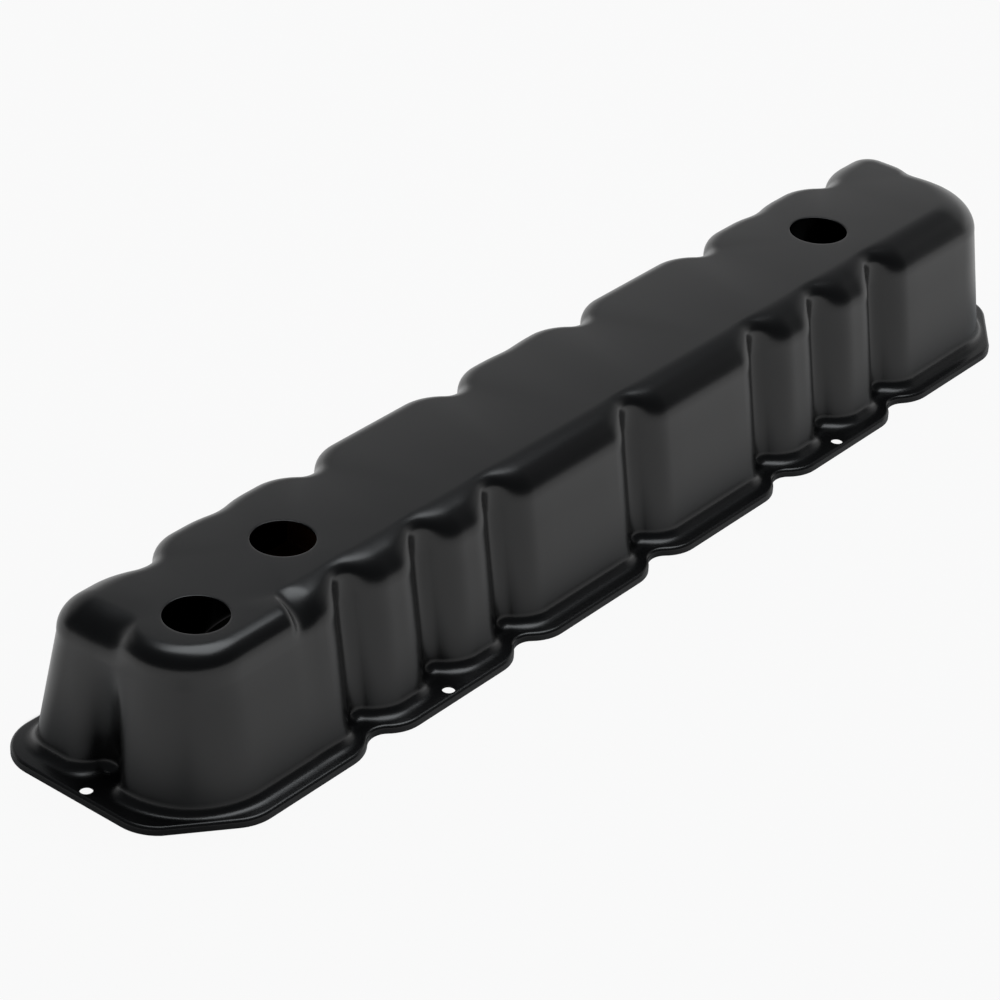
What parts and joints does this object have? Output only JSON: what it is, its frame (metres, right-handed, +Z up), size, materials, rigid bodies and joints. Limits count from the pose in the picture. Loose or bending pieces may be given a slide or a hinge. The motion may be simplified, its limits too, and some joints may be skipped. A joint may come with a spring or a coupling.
{
  "type": "engine valve cover",
  "caption": "Long pressed-steel engine valve cover with lobed side walls, a flat top with three round ports and a turned-down bolting flange.",
  "frame": {"origin": "centre of the bounding box on the joint face, at the bottom of the flange's turned-down lip", "axes": "+X along the engine away from the filler end, +Y across the engine to the far side, +Z up from the joint face"},
  "size_m": [0.714, 0.14, 0.089],
  "materials": {
    "black_paint": "semi-gloss",
    "bare_steel": "satin"
  },
  "bodies": {
    "root": {"valve_cover": "black_paint", "oil_baffle": "bare_steel"}
  },
  "joints": []
}
